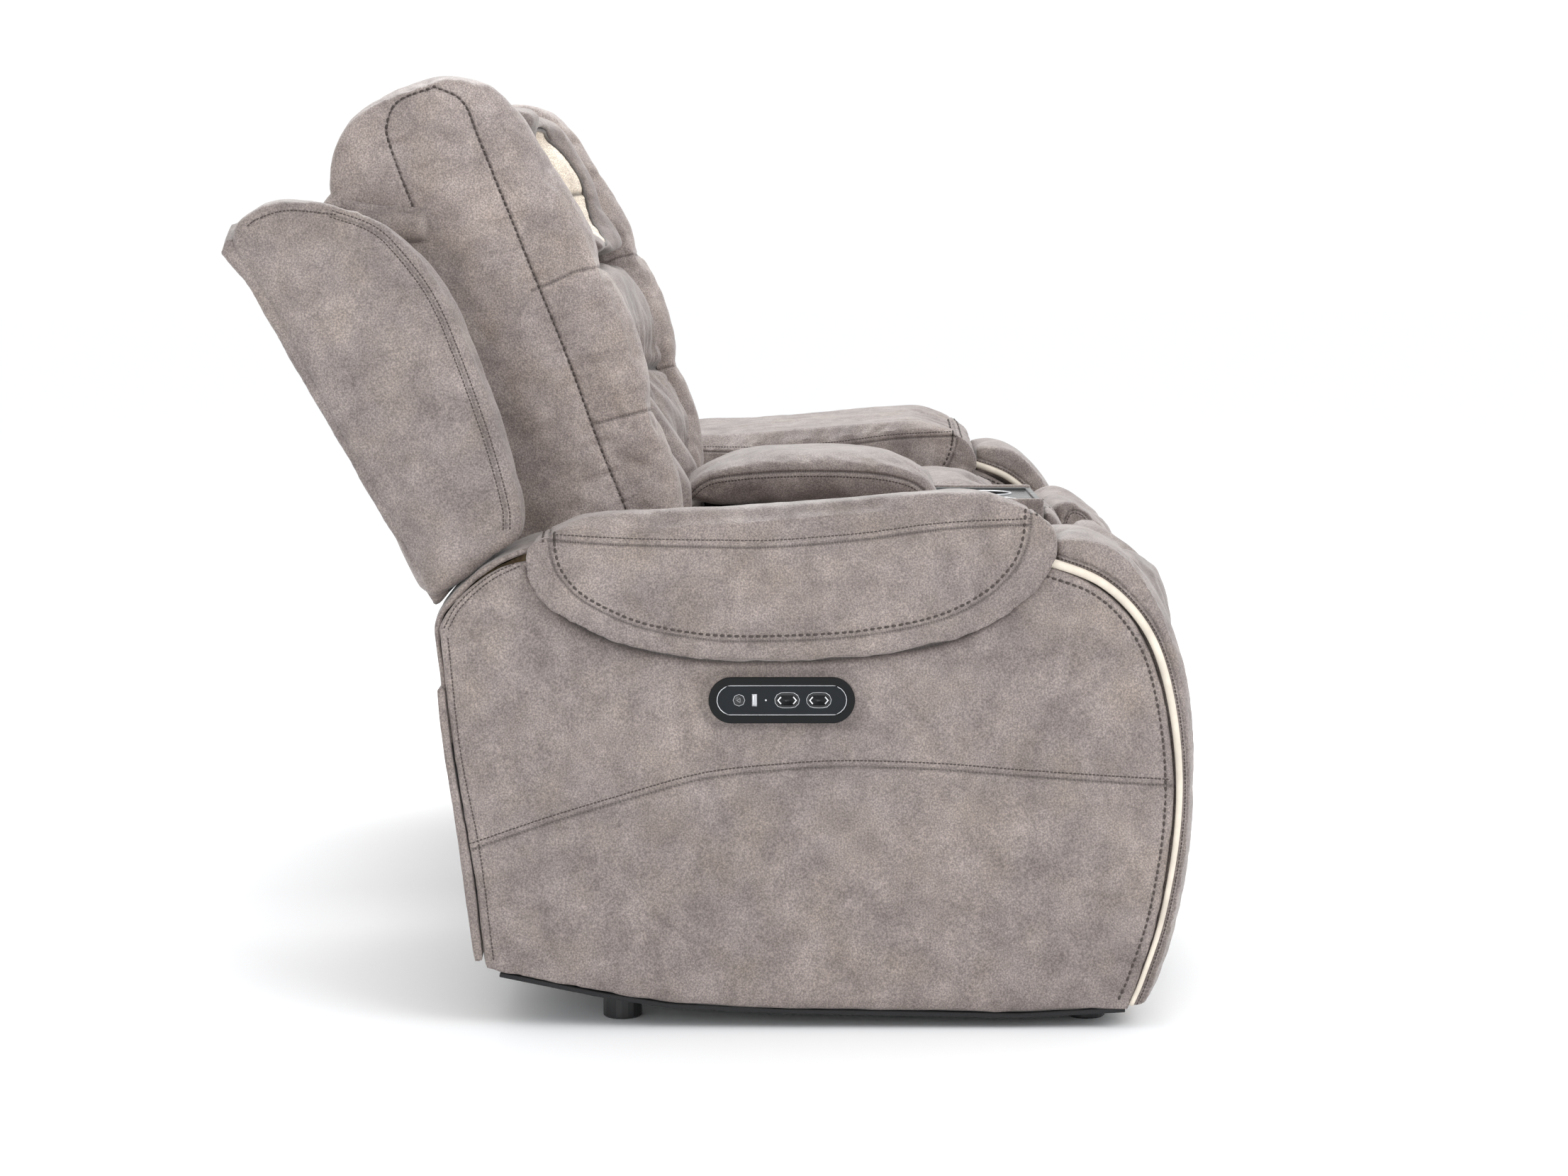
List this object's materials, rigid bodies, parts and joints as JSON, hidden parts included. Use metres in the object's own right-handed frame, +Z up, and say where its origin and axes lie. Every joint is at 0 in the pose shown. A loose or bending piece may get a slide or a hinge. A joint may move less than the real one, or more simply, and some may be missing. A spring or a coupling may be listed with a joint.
{
  "type": "power reclining console loveseat",
  "caption": "Padded reclining loveseat with fold-out footrests, tilting headrests and a centre console with lidded storage and cup holders.",
  "frame": {"origin": "on the floor, under the middle of the object's box", "axes": "+X across the width towards the sitter's left, -Y the way the sitter faces, +Z up"},
  "size_m": [1.96, 1.118, 1.093],
  "materials": {
    "suede": "brushed faux suede, mottled warm grey",
    "cream_suede": "brushed faux suede, pale cream",
    "timber": "raw plywood and pine",
    "steel": "black enamel",
    "black_plastic": "satin black moulding"
  },
  "bodies": {
    "root": {"console_box": "suede", "console_cup_deck": "black_plastic", "console_front": "suede", "console_rear": "suede", "front_rail": "timber", "left_arm_frame": "timber", "left_arm_front": "suede", "left_arm_inner_panel": "suede", "left_arm_pad": "suede", "left_arm_piping": "cream_suede", "left_control_panel": "black_plastic", "left_front_foot": "black_plastic", "left_rear_foot": "black_plastic", "left_recline_motor": "black_plastic", "left_seat_cushion": "suede", "left_seat_frame": "timber", "left_side_panel": "suede", "power_inlet": "black_plastic", "rear_panel": "suede", "right_arm_frame": "timber", "right_arm_front": "suede", "right_arm_inner_panel": "suede", "right_arm_pad": "suede", "right_arm_piping": "cream_suede", "right_control_panel": "black_plastic", "right_front_foot": "black_plastic", "right_rear_foot": "black_plastic", "right_recline_motor": "black_plastic", "right_seat_cushion": "suede", "right_seat_frame": "timber", "right_side_panel": "suede"},
    "right_back": {"right_back_frame": "timber", "right_outer_bolster": "suede", "right_inner_bolster": "suede", "right_lumbar_cushion": "suede", "right_wing": "suede", "right_back_rear_panel": "suede"},
    "right_headrest": {"right_headrest": "suede"},
    "right_drive": {"right_drive_block": "steel"},
    "right_footrest_lift": {"right_footrest_rear_link": "steel"},
    "right_footrest_knee": {"right_footrest_front_link": "steel"},
    "right_footrest": {"right_footrest_pad": "suede"},
    "right_home_button": {"right_home_button": "black_plastic"},
    "right_recline_rocker": {"right_recline_rocker": "black_plastic"},
    "right_headrest_rocker": {"right_headrest_rocker": "black_plastic"},
    "left_back": {"left_back_frame": "timber", "left_outer_bolster": "suede", "left_inner_bolster": "suede", "left_lumbar_cushion": "suede", "left_wing": "suede", "left_back_rear_panel": "suede"},
    "left_headrest": {"left_headrest": "suede"},
    "left_drive": {"left_drive_block": "steel"},
    "left_footrest_lift": {"left_footrest_rear_link": "steel"},
    "left_footrest_knee": {"left_footrest_front_link": "steel"},
    "left_footrest": {"left_footrest_pad": "suede"},
    "left_home_button": {"left_home_button": "black_plastic"},
    "left_recline_rocker": {"left_recline_rocker": "black_plastic"},
    "left_headrest_rocker": {"left_headrest_rocker": "black_plastic"},
    "console_lid": {"console_lid": "suede"}
  },
  "joints": [
    {"name": "right_back_recline", "type": "hinge", "parent": "root", "child": "right_back", "pos_m": [-0.42, 0.2, 0.32], "axis": [-1, 0, 0], "range_deg": [0, 38]},
    {"name": "right_headrest_tilt", "type": "hinge", "parent": "right_back", "child": "right_headrest", "pos_m": [-0.42, 0.158, 0.862], "axis": [1, 0, 0], "range_deg": [0, 35]},
    {"name": "right_drive_travel", "type": "slide", "parent": "root", "child": "right_drive", "axis": [0, -1, 0], "range_m": [0, 0.151]},
    {"name": "right_footrest_lift", "type": "hinge", "parent": "root", "child": "right_footrest_lift", "pos_m": [-0.42, -0.35, 0.285], "axis": [-1, 0, 0], "range_deg": [0, 72.2]},
    {"name": "right_footrest_knee", "type": "hinge", "parent": "right_footrest_lift", "child": "right_footrest_knee", "pos_m": [-0.42, -0.365, 0.085], "axis": [1, 0, 0], "range_deg": [0, 131]},
    {"name": "right_footrest_tilt", "type": "hinge", "parent": "right_footrest_knee", "child": "right_footrest", "pos_m": [-0.42, -0.4405, 0.3], "axis": [-1, 0, 0], "range_deg": [0, 139]},
    {"name": "right_home_press", "type": "slide", "parent": "root", "child": "right_home_button", "axis": [1, 0, 0], "range_m": [0, 0.0012], "stiffness_N_per_m": 400},
    {"name": "right_recline_press", "type": "hinge", "parent": "root", "child": "right_recline_rocker", "pos_m": [-0.95865, -0.082, 0.381], "axis": [0, 0, 1], "range_deg": [-4, 4], "stiffness_Nm_per_rad": 0.3},
    {"name": "right_headrest_press", "type": "hinge", "parent": "root", "child": "right_headrest_rocker", "pos_m": [-0.95865, -0.118, 0.381], "axis": [0, 0, 1], "range_deg": [-4, 4], "stiffness_Nm_per_rad": 0.3},
    {"name": "left_back_recline", "type": "hinge", "parent": "root", "child": "left_back", "pos_m": [0.42, 0.2, 0.32], "axis": [-1, 0, 0], "range_deg": [0, 38]},
    {"name": "left_headrest_tilt", "type": "hinge", "parent": "left_back", "child": "left_headrest", "pos_m": [0.42, 0.158, 0.862], "axis": [1, 0, 0], "range_deg": [0, 35]},
    {"name": "left_drive_travel", "type": "slide", "parent": "root", "child": "left_drive", "axis": [0, -1, 0], "range_m": [0, 0.151]},
    {"name": "left_footrest_lift", "type": "hinge", "parent": "root", "child": "left_footrest_lift", "pos_m": [0.42, -0.35, 0.285], "axis": [-1, 0, 0], "range_deg": [0, 72.2]},
    {"name": "left_footrest_knee", "type": "hinge", "parent": "left_footrest_lift", "child": "left_footrest_knee", "pos_m": [0.42, -0.365, 0.085], "axis": [1, 0, 0], "range_deg": [0, 131]},
    {"name": "left_footrest_tilt", "type": "hinge", "parent": "left_footrest_knee", "child": "left_footrest", "pos_m": [0.42, -0.4405, 0.3], "axis": [-1, 0, 0], "range_deg": [0, 139]},
    {"name": "left_home_press", "type": "slide", "parent": "root", "child": "left_home_button", "axis": [-1, 0, 0], "range_m": [0, 0.0012], "stiffness_N_per_m": 400},
    {"name": "left_recline_press", "type": "hinge", "parent": "root", "child": "left_recline_rocker", "pos_m": [0.95865, -0.082, 0.381], "axis": [0, 0, 1], "range_deg": [-4, 4], "stiffness_Nm_per_rad": 0.3},
    {"name": "left_headrest_press", "type": "hinge", "parent": "root", "child": "left_headrest_rocker", "pos_m": [0.95865, -0.118, 0.381], "axis": [0, 0, 1], "range_deg": [-4, 4], "stiffness_Nm_per_rad": 0.3},
    {"name": "console_lid_open", "type": "hinge", "parent": "root", "child": "console_lid", "pos_m": [0, 0.055, 0.54], "axis": [-1, 0, 0], "range_deg": [0, 80]}
  ],
  "couplings": [
    {"joint": "right_drive_travel", "follows": "right_back_recline", "m_per_rad": 0.22617},
    {"joint": "right_footrest_lift", "follows": "right_back_recline", "ratio": 1.8947},
    {"joint": "right_footrest_knee", "follows": "right_back_recline", "ratio": 3.4421},
    {"joint": "right_footrest_tilt", "follows": "right_back_recline", "ratio": 3.6526},
    {"joint": "left_drive_travel", "follows": "left_back_recline", "m_per_rad": 0.22617},
    {"joint": "left_footrest_lift", "follows": "left_back_recline", "ratio": 1.8947},
    {"joint": "left_footrest_knee", "follows": "left_back_recline", "ratio": 3.4421},
    {"joint": "left_footrest_tilt", "follows": "left_back_recline", "ratio": 3.6526}
  ]
}
